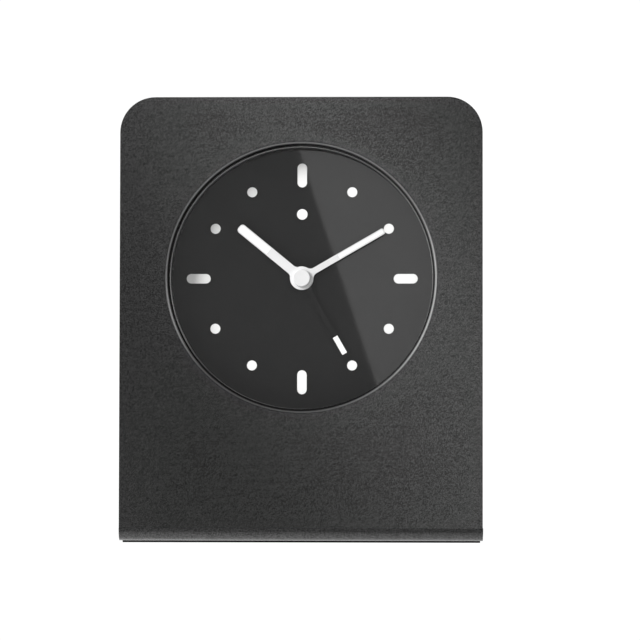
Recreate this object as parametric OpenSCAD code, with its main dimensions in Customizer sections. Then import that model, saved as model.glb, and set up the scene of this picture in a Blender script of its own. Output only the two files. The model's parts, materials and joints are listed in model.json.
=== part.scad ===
// Bedside alarm clock: a leaning sheet stand, a dial drum behind its opening and a quartz movement.
// Millimetres. +Z is up, the dial faces -Y, and the underside of the foot pad is at z = 0.
// Depths are measured from the front of the face, square to it, and grow towards the back.

/* [Sheet body] */
// Width of the sheet
body_w = 85; // [80:0.5:110]
// Height of the whole clock
body_h = 104.2; // [98:0.1:130]
// Depth of the whole clock
body_d = 52; // [48:0.5:80]
// Thickness of the sheet
sheet_t = 2; // [1.5:0.1:2.4]
// Lean of the face from upright, in degrees
lean = 6; // [3:0.5:9]
// Outside radius of the bend at the foot
bend_r = 3; // [2.7:0.1:5]
// Radius of the free corners
corner_r = 8.3; // [4:0.1:11]
// Dial centre below the top edge
dial_drop = 42.3; // [41:0.1:48]

/* [Foot pad] */
// Thickness of the pad
pad_t = 0.5; // [0.3:0.1:1.5]
// Inset of the pad from the edge of the base
pad_inset = 0.6; // [0.3:0.1:3]

/* [Lens and dial] */
// Radius of the opening in the face
opening_r = 31.3; // [30:0.1:32]
// Width of the chamfer round the opening
opening_chamfer = 0.65; // [0.2:0.05:1]
// Gap between the lens and the edge of the opening
lens_gap = 0.4; // [0.1:0.05:0.8]
// Depth of the lens front below the face
lens_recess = 0.4; // [0:0.1:1]
// Thickness of the lens flange behind the face
lens_flange_t = 0.8; // [0.5:0.1:1.2]
// Width of the lens flange outside the opening
lens_flange_w = 1.7; // [1:0.1:2.4]
// Height of the spacer ring between lens and dial
ring_h = 4.2; // [3.9:0.1:6]
// Inner radius of the spacer ring
ring_in_r = 30.75; // [29:0.05:30.9]
// Chamfer round the inner edge of the spacer ring
ring_edge = 0.35; // [0.1:0.05:0.6]
// Depth of the wider front part of the spacer ring
ring_step = 1.2; // [0.6:0.1:2]
// Thickness of the dial
dial_t = 0.8; // [0.4:0.1:1.2]
// Thickness of the light guide
guide_t = 1.5; // [1:0.1:2.5]
// Depth of the guide's raised markers below the dial
marker_sink = 0.05; // [0:0.05:0.3]

/* [Markers] */
// Radius to the middle of the four bars
bar_r = 24.4; // [20:0.1:26]
// Length of a bar
bar_l = 5.7; // [4:0.1:7]
// Width of a bar
bar_w = 2.3; // [1.2:0.05:3]
// Radius to the eight dots
dot_r = 23.6; // [20:0.1:26]
// Diameter of a dot
dot_dia = 2.4; // [1.2:0.05:3.5]
// Radius to the extra dot under twelve
top_dot_r = 15.2; // [8:0.05:18]
// Diameter of the extra dot
top_dot_dia = 2.55; // [1.2:0.05:3.5]

/* [Hands] */
// Thickness of the hour and minute hands
hand_t = 0.5; // [0.3:0.05:0.6]
// Gap between neighbouring hands
hand_gap = 0.4; // [0.3:0.05:0.5]
// Gap between the dial and the alarm hand
alarm_gap = 0.55; // [0.4:0.05:0.7]
// Thickness of the alarm hand
alarm_hand_t = 0.4; // [0.3:0.05:0.5]
// Radius of the hub discs
hub_r = 2.75; // [2.6:0.05:3.5]
// Minute hand, axis to tip
minute_l = 22.4; // [16:0.1:28]
// Width of the minute hand
minute_w = 1.45; // [1.1:0.05:2]
// Minute hand clockwise from twelve, in degrees
minute_angle = 60; // [0:1:359]
// Hour hand, axis to tip
hour_l = 19.1; // [14:0.1:24]
// Width of the hour hand
hour_w = 2.2; // [1.6:0.05:3]
// Hour hand clockwise from twelve, in degrees
hour_angle = 309.4; // [0:0.1:359]
// Alarm hand, axis to tip
alarm_l = 20.4; // [16:0.1:24]
// Width of the alarm hand
alarm_w = 1.25; // [1.1:0.05:2]
// Length of the white bar at the alarm hand's tip
alarm_tip_l = 4.6; // [3:0.05:8]
// Alarm hand clockwise from twelve, in degrees
alarm_angle = 150.3; // [0:0.1:359]
// Start of the inlays from the axis
inlay_start = 10.1; // [6:0.1:12]
// Rim left round an inlay
inlay_rim = 0.3; // [0.2:0.05:0.45]
// Depth of an inlay
inlay_t = 0.2; // [0.1:0.05:0.25]
// Radius of the hub cap
cap_r = 2.1; // [1.5:0.05:2.5]
// Thickness of the hub cap
cap_t = 0.75; // [0.4:0.05:0.9]

/* [Drum] */
// Inner radius of the drum
drum_in_r = 35.2; // [35:0.1:36]
// Wall of the drum
drum_wall = 1.8; // [1.4:0.1:2.5]
// Thickness of the mounting ears
ear_t = 2; // [1.5:0.1:3]
// Radius of a mounting ear
ear_r = 3.8; // [3.4:0.1:4.5]
// Stud distance from the dial axis, sideways and up
stud_reach = 30; // [29:0.1:31]
// Radius of a stud
stud_r = 1.25; // [1:0.05:1.5]
// Width across the flats of a nut
nut_af = 5; // [4.5:0.1:5.5]
// Thickness of a nut
nut_t = 2; // [1.2:0.1:2.4]
// Width of the inner ledge
ledge_w = 2.7; // [2.4:0.1:3.5]
// Thickness of the inner ledge
ledge_t = 1.5; // [1:0.1:2.5]
// Chamfer round the rear of the drum
drum_chamfer = 0.8; // [0.3:0.1:1]
// Gap round the discs stacked in the drum
stack_gap = 0.3; // [0.1:0.05:0.5]

/* [Movement] */
// Thickness of the movement plate
plate_t = 1.5; // [1:0.1:2.5]
// Thickness of the bridge
bridge_t = 1.2; // [0.8:0.1:2]
// Thickness of a wheel
wheel_t = 0.8; // [0.5:0.05:1]
// Gap between the levels of the train
level_gap = 0.6; // [0.45:0.05:0.9]
// Distance from the dial axis to the setting arbors
setting_reach = 12; // [11.8:0.05:13]
// Angle of the setting arbors above the horizontal
setting_rise = 20; // [15:1:22]
// Distance from the dial axis to the third arbor
third_reach = 12.24; // [12:0.02:12.8]
// Distance from the third arbor to the rotor
rotor_reach = 10.5; // [10.2:0.05:11]
// Angle of the rotor above the horizontal, seen from the third arbor
rotor_rise = 20; // [15:1:25]
// Tooth thinning for backlash
tooth_thin = 0.05; // [0.03:0.01:0.08]
// Radius of the minute arbor
minute_arbor_r = 0.75; // [0.6:0.05:0.9]
// Running clearance of arbors and tubes
run_clear = 0.05; // [0.03:0.01:0.08]
// Wall of the hour and alarm tubes
tube_wall = 0.65; // [0.5:0.05:0.75]
// Radius of the setting arbors
setting_arbor_r = 1; // [0.8:0.05:1.1]
// Radius of the third arbor and the rotor arbor
pivot_r = 0.45; // [0.35:0.05:0.55]
// Radius of the rotor magnet
rotor_r = 3.5; // [3:0.1:4]
// Thickness of the rotor magnet
rotor_t = 1.5; // [1:0.1:2]
// Air gap between rotor and stator
air_gap = 0.45; // [0.3:0.05:0.6]
// Radius of the coil winding
coil_r = 2.8; // [2:0.1:3]
// Length of the coil winding
coil_l = 10; // [8:0.5:11]
// Radius of a pillar
pillar_r = 1.8; // [1.6:0.1:2.2]
// Radius of a pillar's neck
neck_r = 1; // [0.8:0.05:1.2]
// Thickness of the circuit board
board_t = 1.2; // [0.8:0.1:1.6]
// Gap between bridge and board
board_gap = 0.5; // [0.3:0.1:1]

/* [Battery] */
// Diameter of the cell
cell_dia = 14.2; // [13.5:0.1:14.5]
// Length of the cell
cell_l = 50; // [49.2:0.1:50.4]
// Cell axis below the dial axis
cell_drop = 13; // [12.8:0.1:13.4]
// Wall of the battery box
box_wall = 1; // [0.7:0.1:1.2]
// Clearance round the cell
cell_clear = 0.25; // [0.15:0.05:0.4]
// Room for a contact at each end of the cell
contact_room = 1.2; // [1:0.1:1.4]
// Thickness of a contact
contact_t = 0.4; // [0.3:0.05:0.5]
// Rim of the battery door outside its plug
door_rim = 0.9; // [0.6:0.1:1.1]
// Gap round the battery door
door_gap = 0.2; // [0.1:0.05:0.3]

/* [Rear cover and controls] */
// Thickness of the rear cover
cover_t = 2; // [1.6:0.1:3]
// Gap between rear cover and drum
cover_gap = 0.2; // [0.1:0.05:0.3]
// Chamfer round the rear cover
cover_edge = 0.4; // [0.2:0.05:0.8]
// Radius of the cover's screw bosses
boss_r = 3.4; // [3.2:0.1:3.8]
// Radius of a cover screw
screw_r = 0.95; // [0.8:0.05:1.1]
// Radius of a cover screw's head
screw_head_r = 1.9; // [1.6:0.1:2.1]
// Radius of a setting knob
knob_r = 6; // [4.5:0.1:6.3]
// Height of a setting knob
knob_h = 4.5; // [3:0.1:6]
// Gap between knob and rear cover
knob_gap = 0.5; // [0.3:0.1:1]
// Depth of the dish in a knob's end
knob_dish = 0.4; // [0.1:0.05:0.6]
// Grip flutes on a knob
knob_flutes = 18; // [12:1:24]
// Width of the alarm slider
slider_w = 3; // [2:0.1:3.4]
// Length of the alarm slider
slider_l = 4; // [3:0.1:4.4]
// Travel of the alarm slider
slider_travel = 4; // [3:0.1:4.4]
// Height of the alarm slider above the cover
slider_h = 1.4; // [0.8:0.1:2.5]
// Clearance round sliding pieces
slide_clear = 0.25; // [0.15:0.05:0.35]
// Length of the snooze button
snooze_l = 18; // [14:0.5:19]
// Width of the snooze button
snooze_w = 8; // [6:0.2:9]
// Height of the snooze button above the drum
snooze_h = 2.2; // [1.6:0.1:3]
// Travel of the snooze button
snooze_travel = 1.2; // [0.8:0.1:1.4]
// Radius of the sounder
buzzer_r = 8.5; // [7:0.1:8.8]
// Height of the sounder
buzzer_h = 4; // [2.5:0.1:5]
// Radius of a sound hole
sound_hole_r = 0.8; // [0.5:0.05:1]

/* [Hidden] */
$fn = 96;
// Overlap that keeps a cut clear of the face it goes through
cut = 0.5;
// Clearance of pieces that are pressed or screwed together
fit_clear = 0.03;

// Side profile of the sheet: centre of the bend, start of the face and length of the face
bend_y = bend_r - body_d / 2;
bend_z = pad_t + bend_r;
face_y = bend_y - bend_r * cos(lean);
face_z = bend_z + bend_r * sin(lean);
face_l = (body_h - face_z) / cos(lean);
bend_swell = 0.12;
dial_y = face_y + (face_l - dial_drop) * sin(lean);
dial_z = face_z + (face_l - dial_drop) * cos(lean);

// Depths of the stack in the drum
lens_rear = sheet_t + lens_flange_t;
dial_front = lens_rear + ring_h;
dial_rear = dial_front + dial_t;
guide_rear = dial_rear + guide_t;
ledge_rear = guide_rear + ledge_t;
plate_rear = ledge_rear + plate_t;
stack_r = drum_in_r - stack_gap;
drum_r = drum_in_r + drum_wall;
ledge_in_r = drum_in_r - ledge_w;

// Depths of the hands, front faces
alarm_front = dial_front - alarm_gap - alarm_hand_t;
hour_front = alarm_front - hand_gap - hand_t;
minute_front = hour_front - hand_gap - hand_t;

// Depths of the movement
function level(i) = plate_rear + level_gap + i * (wheel_t + level_gap);
alarm_level = level(0);
hour_level = level(1);
minute_level = level(2);
centre_level = level(3);
third_level = level(4);
rotor_level = level(5);
bridge_front = rotor_level + rotor_t + level_gap;
bridge_rear = bridge_front + bridge_t;
board_front = bridge_rear + board_gap;
board_rear = board_front + board_t;

// Depths of the battery box and the rear cover
box_front = third_level;
cell_r = cell_dia / 2;
cell_depth = box_front + box_wall + cell_clear + cell_r;
cover_front = cell_depth + cell_r + cell_clear;
cover_rear = cover_front + cover_t;
cover_r = drum_in_r - cover_gap;
box_half_l = cell_l / 2 + contact_room;
box_half_h = cell_r + cell_clear;

// Tubes and places of the train
hour_tube_in = minute_arbor_r + run_clear;
hour_tube_r = hour_tube_in + tube_wall;
alarm_tube_in = hour_tube_r + run_clear;
alarm_tube_r = alarm_tube_in + tube_wall;
setting_x = setting_reach * cos(setting_rise);
setting_v = setting_reach * sin(setting_rise);
setting_places = [[-setting_x, setting_v], [setting_x, setting_v]];
rotor_x = rotor_reach * cos(rotor_rise);
rotor_v = third_reach + rotor_reach * sin(rotor_rise);

// Tooth counts
cannon_teeth = 12;
minute_teeth = 36;
setting_pinion_teeth = 10;
hour_teeth = 40;
third_pinion_teeth = 12;
centre_teeth = 60;
rotor_pinion_teeth = 10;
third_teeth = 60;

// Tooth modules from the distances between arbors
motion_module = 2 * setting_reach / (cannon_teeth + minute_teeth);
setting_module = 2 * setting_reach / (setting_pinion_teeth + hour_teeth);
centre_module = 2 * third_reach / (third_pinion_teeth + centre_teeth);
rotor_module = 2 * rotor_reach / (rotor_pinion_teeth + third_teeth);

// Tooth proportions, as multiples of the module
pressure_angle = 20;
wheel_addendum = 0.62;
pinion_addendum = 0.9;
dedendum = 1.15;

// Windows in the webs of the wheels
web_windows = 5;
web_rim = 0.8;
third_hub_r = 2.4;
centre_hub_r = 3.6;
minute_hub_r = 3.2;
hour_hub_r = 2.8;

// Stator and coil
stator_t = 1;
stator_web = 2.2;
arm_w = 2.4;
bobbin_t = 0.6;
bobbin_rim = 0.3;
arm_x = coil_l / 2 + bobbin_t + arm_w / 2 + slide_clear;
coil_gap = 0.35;
coil_rise = rotor_r + air_gap + stator_web + coil_gap + coil_r;
post_ahead = 2.9;
post_rise = coil_rise + post_ahead;
post_r = 1;
post_places = [for (x = [-1, 1]) [rotor_x + x * arm_x, rotor_v + post_rise]];
core_t = 1;
core_w = 1.8;
coil_depth = rotor_level - core_t / 2;

// Pillars of the movement, and those that also carry the circuit board
board_pillars = [[-17, 17], [21.5, 17]];
low_pillars = [[-23, -1], [19.5, -1]];
pillar_rivet_t = 0.6;
bridge_margin = 2.2;
bridge_left = low_pillars[0][0] - bridge_margin;
bridge_low = low_pillars[0][1] - bridge_margin;
bridge_w = board_pillars[1][0] + bridge_margin - bridge_left;
bridge_h = board_pillars[1][1] + bridge_margin - bridge_low;

// Chip and crystal on the board
chip_place = [4, 15];
chip_w = 8;
chip_t = 1.2;
chip_corner = 1;
crystal_place = [-9, 13];
crystal_r = 1;
crystal_l = 6;

// Seat of a stud in the sheet, its length past the nut, and the web that joins an ear to the drum
stud_seat = 1;
stud_spare = 0.6;
ear_web_w = 1.7 * ear_r;

// Chamfer round the lens front
lens_edge = 0.2;

// Circuit board outline
board_half_w = 24;
board_low = 9;
board_high = 21.6;
board_tab_w = 9;

// Cover screws round the drum
screw_angles = [40, 140, 270];
boss_sink = 0.4;
screw_circle = drum_in_r - boss_r + boss_sink;
screw_l = 8;
boss_room = 0.6;
boss_front = board_rear + boss_room;
screw_head_t = 1.1;
driver_l = 1.2 * screw_head_r;
driver_w = 0.6;

// Battery door and cell details
door_room = 0.4;
door_corner = 1.2;
door_flange_t = 1;
door_grip_l = 12;
door_grip_w = 0.9;
door_grip_t = 0.4;
cell_edge = 0.5;
cell_button_r = 2.75;
cell_button_l = 1;
contact_w = 9;
minus_bump_r = 0.6 * cell_r;

// Movement screws on the ledge
plate_screw_angles = [30, 150, 270];
plate_screw_circle = drum_in_r - ledge_w / 2;
plate_screw_r = 0.7;
plate_screw_head_r = 1.1;
plate_screw_head_t = 0.8;

// Dial lamps in the movement plate
lamp_places = [[-19, -19], [19, -19]];
lamp_r = 1.45;
lamp_flange_r = 1.9;
lamp_flange_t = 1;
lamp_edge = 0.5;
lamp_room = 0.4;
lamp_proud = ledge_t - lamp_room;

// Hand details
tip_share = 0.35;
alarm_tip_r = 0.15;
fillet_r = 0.7;
arc_steps = 5;
cap_edge = 0.2;

// Knobs on the setting arbors
knob_front = cover_rear + knob_gap;
knob_skin = 1.2;
knob_seat = knob_front + knob_h - knob_skin;
knob_edge = 0.5;
knob_land = 0.9;
flute_r = 0.6;

// Alarm slide switch
switch_rise = 5;
shoe_t = 1;
shoe_margin = 1;
switch_wall = 1.2;
switch_floor = 2.4;
slider_groove_w = 0.4;
slider_groove_t = 0.35;
slider_groove_pitch = 0.9;

// Snooze button inside the drum
snooze_x = -6;
snooze_ahead = 3.7;
snooze_depth = board_front - snooze_ahead;
snooze_margin = 1.4;
snooze_flange_t = 0.9;
snooze_stem_r = 1.2;
snooze_half = snooze_l / 2 + snooze_margin;
snooze_flange_top = sqrt(pow(drum_in_r, 2) - pow(snooze_half, 2)) - slide_clear;
snooze_spare = 0.4;
snooze_switch_top = snooze_flange_top - snooze_flange_t - snooze_travel - snooze_spare;
snooze_switch_h = 4.4;
snooze_switch_w = 5.6;
snooze_stem_in = 2;
snooze_stem_end = snooze_switch_top - snooze_stem_in;

// Sounder behind the sound holes
buzzer_rise = 23;
buzzer_wall = 1;
buzzer_cup_h = 0.7 * buzzer_h;

// Frame of the dial: x to the right, y up the face, z out of the face towards the viewer
module dial_frame() {
    translate([0, dial_y, dial_z]) rotate([90 - lean, 0, 0]) children();
}

// A flat shape made solid between two depths
module slab(front, rear) {
    translate([0, 0, -rear]) linear_extrude(rear - front) children();
}

// A solid of revolution about the horizontal axis at a depth, lying along x
module along_x(depth) {
    translate([0, 0, -depth]) rotate([0, 90, 0]) children();
}

module round_rect(w, h, r) {
    square([w - 2 * r, h], center = true);
    square([w, h - 2 * r], center = true);
    for (x = [-1, 1], y = [-1, 1])
        translate([x * (w / 2 - r), y * (h / 2 - r)]) circle(r);
}

// Slot shape with round ends, long along x
module pill(l, w) {
    square([l - w, w], center = true);
    for (x = [-1, 1])
        translate([x * (l - w) / 2, 0]) circle(w / 2);
}

module ring(outer_r, inner_r) {
    difference() {
        circle(outer_r);
        circle(inner_r);
    }
}

// Rectangle with two rounded corners on its far side, from y = 0 to y = l
module tongue(w, l, r) {
    translate([-w / 2, 0]) square([w, l - r]);
    translate([-w / 2 + r, 0]) square([w - 2 * r, l]);
    for (x = [-1, 1])
        translate([x * (w / 2 - r), l - r]) circle(r);
}

// Places round the dial axis
module around(angles, radius) {
    for (a = angles)
        rotate(a) translate([radius, 0]) children();
}

module at_places(places) {
    for (p = places)
        translate(p) children();
}

module at_studs() {
    for (x = [-1, 1], y = [-1, 1])
        translate([x * stud_reach, y * stud_reach]) children();
}

function polar(r, a) = [r * cos(a), r * sin(a)];

// Involute function, in degrees
function involute(a) = tan(a) * 180 / PI - a;

// Half of a tooth's angle at a radius
function tooth_half(teeth, pitch_r, base_r, r) =
    90 / teeth - tooth_thin / 2 / pitch_r * 180 / PI
    + involute(pressure_angle) - involute(acos(min(1, base_r / r)));

// Outline of a toothed wheel with a tooth on the x axis
module toothed(teeth, mod, addendum) {
    pitch_r = teeth * mod / 2;
    base_r = pitch_r * cos(pressure_angle);
    tip_r = pitch_r + addendum * mod;
    root_r = pitch_r - dedendum * mod;
    start_r = max(base_r, root_r);
    rise = [(start_r + tip_r) / 2, tip_r];
    flank = root_r < base_r ? concat([root_r, base_r], rise) : concat([root_r], rise);
    halves = [for (r = flank) tooth_half(teeth, pitch_r, base_r, max(r, start_r))];
    last = len(flank) - 1;
    polygon([
        for (i = [0 : teeth - 1])
            each concat(
                [for (k = [0 : last]) polar(flank[k], 360 * i / teeth - halves[k])],
                [for (k = [last : -1 : 0]) polar(flank[k], 360 * i / teeth + halves[k])]
            )
    ]);
}

// Wheel that has a tooth, or with meshed a gap, in the direction of its mate
module wheel(teeth, mod, addendum, toward, meshed = false) {
    rotate(toward + (meshed ? 180 / teeth : 0)) toothed(teeth, mod, addendum);
}

// Wheel with round windows in its web
module windowed(teeth, mod, toward, meshed, hub) {
    root_r = teeth * mod / 2 - dedendum * mod;
    window_r = (root_r - hub) / 2 - web_rim;
    difference() {
        wheel(teeth, mod, wheel_addendum, toward, meshed);
        around([for (i = [0 : web_windows - 1]) 360 * i / web_windows], (root_r + hub) / 2)
            circle(window_r);
    }
}

// Sheet body and foot

module folded_body() {
    color("#3b3b3d") translate([0, bend_y, bend_z]) {
        rotate([90 - lean, 0, 0]) {
            difference() {
                translate([0, 0, bend_r]) slab(0, sheet_t) tongue(body_w, face_l, corner_r);
                translate([0, face_l - dial_drop, bend_r]) face_cuts();
            }
            rotate([0, 90, 0]) rotate(180) bend_section();
        }
        translate([0, 0, -bend_r])
            linear_extrude(sheet_t) tongue(body_w, body_d / 2 - bend_y, corner_r);
    }
}

// Chamfered dial opening and blind seats for the studs
module face_cuts() {
    slab(-cut, sheet_t + cut) circle(opening_r);
    translate([0, 0, -opening_chamfer])
        cylinder(h = opening_chamfer * 2, r1 = opening_r, r2 = opening_r + 2 * opening_chamfer);
    slab(sheet_t - stud_seat, sheet_t + cut) at_studs() circle(stud_r + fit_clear);
}

// Quarter ring and a little more, from the leaning face round to the base, swollen sideways as a bent sheet is
module bend_section() {
    inside = body_w / 2 + bend_swell;
    outside = body_w / 2 + bend_swell / 4;
    rotate_extrude(angle = 90 + lean)
        polygon([
            [bend_r - sheet_t, -inside],
            [bend_r, -outside],
            [bend_r, outside],
            [bend_r - sheet_t, inside]
        ]);
}

module foot_pad() {
    color("#141414")
        translate([0, bend_y + pad_inset, 0])
            linear_extrude(pad_t)
                tongue(body_w - 2 * pad_inset, body_d / 2 - bend_y - 2 * pad_inset, corner_r - pad_inset);
}

module plate_studs() {
    color("silver") dial_frame()
        slab(sheet_t - stud_seat, sheet_t + ear_t + nut_t + stud_spare) at_studs() circle(stud_r);
}

module housing_nuts() {
    color("silver") dial_frame()
        slab(sheet_t + ear_t, sheet_t + ear_t + nut_t)
            at_studs()
                difference() {
                    circle(nut_af / 2 / cos(30), $fn = 6);
                    circle(stud_r + fit_clear);
                }
}

// Lens and dial

module lens() {
    color("white", 0.3) dial_frame()
        rotate_extrude()
            polygon([
                [0, -lens_rear],
                [opening_r + lens_flange_w, -lens_rear],
                [opening_r + lens_flange_w, -sheet_t],
                [opening_r - lens_gap, -sheet_t],
                [opening_r - lens_gap, -lens_recess - lens_edge],
                [opening_r - lens_gap - lens_edge, -lens_recess],
                [0, -lens_recess]
            ]);
}

module dial_ring() {
    color("#1a1a1a") dial_frame()
        rotate_extrude()
            polygon([
                [stack_r, -lens_rear],
                [stack_r, -dial_front],
                [ring_in_r, -dial_front],
                [ring_in_r, -lens_rear - ring_step - ring_edge],
                [ring_in_r + ring_edge, -lens_rear - ring_step],
                [ring_in_r + ring_edge, -lens_rear]
            ]);
}

module dial() {
    color("#2a2a2c") dial_frame()
        slab(dial_front, dial_rear)
            difference() {
                circle(stack_r);
                circle(alarm_tube_r + stack_gap);
                markers(0);
            }
}

// Bars, dots and the extra dot under twelve, made smaller by a clearance all round
module markers(clear) {
    around([0, 90, 180, 270], bar_r) pill(bar_l - 2 * clear, bar_w - 2 * clear);
    around([for (i = [0 : 11]) if (i % 3 > 0) 30 * i], dot_r) circle(dot_dia / 2 - clear);
    translate([0, top_dot_r]) circle(top_dot_dia / 2 - clear);
}

// Disc with raised markers that stand in the dial's cut-outs
module light_guide() {
    color("white") dial_frame() {
        slab(dial_rear, guide_rear) ring(stack_r, alarm_tube_r + stack_gap);
        slab(dial_front + marker_sink, dial_rear) markers(fit_clear);
    }
}

// Drum and rear cover

module ear_outline() {
    circle(drum_r);
    at_studs() circle(ear_r);
    for (a = [45, 135])
        rotate(a) square([2 * stud_reach * sqrt(2), ear_web_w], center = true);
}

module drum_housing() {
    color("#202021") dial_frame() {
        difference() {
            union() {
                slab(sheet_t, sheet_t + ear_t) ear_outline();
                rotate_extrude()
                    polygon([
                        [ledge_in_r, -sheet_t],
                        [drum_r, -sheet_t],
                        [drum_r, drum_chamfer - cover_rear],
                        [drum_r - drum_chamfer, -cover_rear],
                        [ledge_in_r, -cover_rear]
                    ]);
            }
            slab(sheet_t - cut, guide_rear) circle(drum_in_r);
            slab(sheet_t - cut, cover_rear + cut) circle(ledge_in_r);
            slab(ledge_rear, cover_rear + cut) circle(drum_in_r);
            slab(sheet_t - cut, sheet_t + ear_t + cut) at_studs() circle(stud_r + stack_gap);
            slab(guide_rear - cut, ledge_rear + cut)
                around(plate_screw_angles, plate_screw_circle) circle(plate_screw_r + fit_clear);
            snooze_shaft(slide_clear, drum_in_r - drum_wall, drum_r + cut);
        }
        slab(boss_front, cover_front)
            around(screw_angles, screw_circle)
                difference() {
                    circle(boss_r);
                    circle(screw_r + fit_clear);
                }
    }
}

// Shaft of the snooze button between two heights above the dial axis
module snooze_shaft(clear, low, high) {
    translate([0, low, -snooze_depth]) rotate([-90, 0, 0])
        linear_extrude(high - low) pill(snooze_l + 2 * clear, snooze_w + 2 * clear);
}

// Outline of the battery door's plug, grown by a margin
module door_outline(grow) {
    translate([0, -cell_drop])
        round_rect(cell_l + 2 * door_room + 2 * grow, cell_dia + 2 * door_room + 2 * grow, door_corner + grow);
}

module rear_cover() {
    color("#202021") dial_frame() {
        difference() {
            union() {
                rotate_extrude()
                    polygon([
                        [0, -cover_front],
                        [cover_r, -cover_front],
                        [cover_r, cover_edge - cover_rear],
                        [cover_r - cover_edge, -cover_rear],
                        [0, -cover_rear]
                    ]);
                slab(cover_front - buzzer_cup_h, cover_front)
                    translate([0, buzzer_rise]) ring(buzzer_r + stack_gap + buzzer_wall, buzzer_r + stack_gap);
                slab(box_front, cover_front)
                    translate([0, -cell_drop])
                        square([2 * box_half_l + 2 * box_wall, 2 * box_half_h + 2 * box_wall], center = true);
            }
            slab(box_front + box_wall, cover_front)
                translate([0, -cell_drop]) square([2 * box_half_l, 2 * box_half_h], center = true);
            slab(cover_front - cut, cover_rear + cut) door_outline(0);
            slab(cover_rear - door_flange_t, cover_rear + cut) door_outline(door_rim);
            slab(cover_front - cut, cover_rear + cut) {
                around(screw_angles, screw_circle) circle(screw_r + stack_gap);
                at_places(setting_places) circle(setting_arbor_r + stack_gap);
                translate([0, buzzer_rise]) sound_holes();
                translate([0, switch_rise]) rotate(90)
                    pill(slider_l + slider_travel + 2 * slide_clear, slider_w + 2 * slide_clear);
            }
            slab(cover_rear - screw_head_t, cover_rear + cut)
                around(screw_angles, screw_circle) circle(screw_head_r + stack_gap);
        }
    }
}

module sound_holes() {
    circle(sound_hole_r);
    around([for (i = [0 : 5]) 60 * i], 3 * sound_hole_r) circle(sound_hole_r);
    around([for (i = [0 : 11]) 30 * i + 15], 6 * sound_hole_r) circle(sound_hole_r);
}

module rear_cover_screws() {
    color("silver") dial_frame() {
        difference() {
            slab(cover_rear - screw_head_t, cover_rear)
                around(screw_angles, screw_circle) circle(screw_head_r);
            slab(cover_rear - screw_head_t / 2, cover_rear + cut)
                around(screw_angles, screw_circle) {
                    square([driver_l, driver_w], center = true);
                    square([driver_w, driver_l], center = true);
                }
        }
        slab(cover_front - screw_l, cover_rear - screw_head_t)
            around(screw_angles, screw_circle) circle(screw_r);
    }
}

module battery_door() {
    color("#242425") dial_frame()
        difference() {
            union() {
                slab(cover_front, cover_rear) door_outline(-door_gap);
                slab(cover_rear - door_flange_t, cover_rear) door_outline(door_rim - door_gap);
            }
            slab(cover_rear - door_grip_t, cover_rear + cut)
                translate([0, cell_r / 2 - cell_drop])
                    for (i = [-1 : 1])
                        translate([0, i * 2 * door_grip_w]) pill(door_grip_l, door_grip_w);
        }
}

module battery_cell() {
    color("#8a8d90") dial_frame()
        translate([0, -cell_drop, 0]) along_x(cell_depth)
            rotate_extrude()
                polygon([
                    [0, -cell_l / 2],
                    [cell_r - cell_edge, -cell_l / 2],
                    [cell_r, -cell_l / 2 + cell_edge],
                    [cell_r, cell_l / 2 - cell_button_l - cell_edge],
                    [cell_r - cell_edge, cell_l / 2 - cell_button_l],
                    [cell_button_r, cell_l / 2 - cell_button_l],
                    [cell_button_r, cell_l / 2],
                    [0, cell_l / 2]
                ]);
}

module battery_contact(bump_r) {
    translate([0, -cell_drop, 0]) along_x(cell_depth) {
        translate([0, 0, box_half_l - contact_t])
            linear_extrude(contact_t) square([contact_w, contact_w], center = true);
        translate([0, 0, cell_l / 2 + run_clear])
            cylinder(h = contact_room - contact_t - run_clear, r = bump_r);
    }
}

module battery_contact_plus() {
    color("gold") dial_frame() battery_contact(cell_button_r);
}

module battery_contact_minus() {
    color("gold") dial_frame() mirror([1, 0, 0]) battery_contact(minus_bump_r);
}

// Frame of the movement

module movement_plate() {
    color("#d9d9d4") dial_frame() {
        slab(ledge_rear, plate_rear)
            difference() {
                circle(stack_r);
                circle(alarm_tube_r + run_clear);
                at_places(setting_places) circle(setting_arbor_r + run_clear);
                at_places([[0, third_reach], [rotor_x, rotor_v]]) circle(pivot_r + run_clear);
                around(plate_screw_angles, plate_screw_circle) circle(plate_screw_r + fit_clear);
                at_places(lamp_places) circle(lamp_r + fit_clear);
            }
        slab(plate_rear, rotor_level) at_places(post_places) circle(post_r);
    }
}

module movement_screws() {
    color("silver") dial_frame() {
        slab(guide_rear + run_clear, plate_rear)
            around(plate_screw_angles, plate_screw_circle) circle(plate_screw_r);
        slab(plate_rear, plate_rear + plate_screw_head_t)
            around(plate_screw_angles, plate_screw_circle) circle(plate_screw_head_r);
    }
}

module pillar(neck_end) {
    slab(plate_rear, bridge_front) circle(pillar_r);
    slab(bridge_front, neck_end) circle(neck_r);
    slab(neck_end, neck_end + pillar_rivet_t) circle((pillar_r + neck_r) / 2);
}

module movement_pillars() {
    color("silver") dial_frame() {
        at_places(board_pillars) pillar(board_rear);
        at_places(low_pillars) pillar(bridge_rear);
    }
}

module movement_bridge() {
    color("#cfcfca") dial_frame() {
        slab(bridge_front, bridge_rear)
            difference() {
                translate([bridge_left, bridge_low]) translate([bridge_w / 2, bridge_h / 2])
                    round_rect(bridge_w, bridge_h, bridge_margin);
                circle(minute_arbor_r + run_clear);
                at_places(setting_places) circle(setting_arbor_r + run_clear);
                at_places([[0, third_reach], [rotor_x, rotor_v]]) circle(pivot_r + run_clear);
                at_places(board_pillars) circle(neck_r + fit_clear);
                at_places(low_pillars) circle(neck_r + fit_clear);
            }
        slab(bridge_rear, board_front) at_places(board_pillars) ring(pillar_r, neck_r + fit_clear);
    }
}

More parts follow.
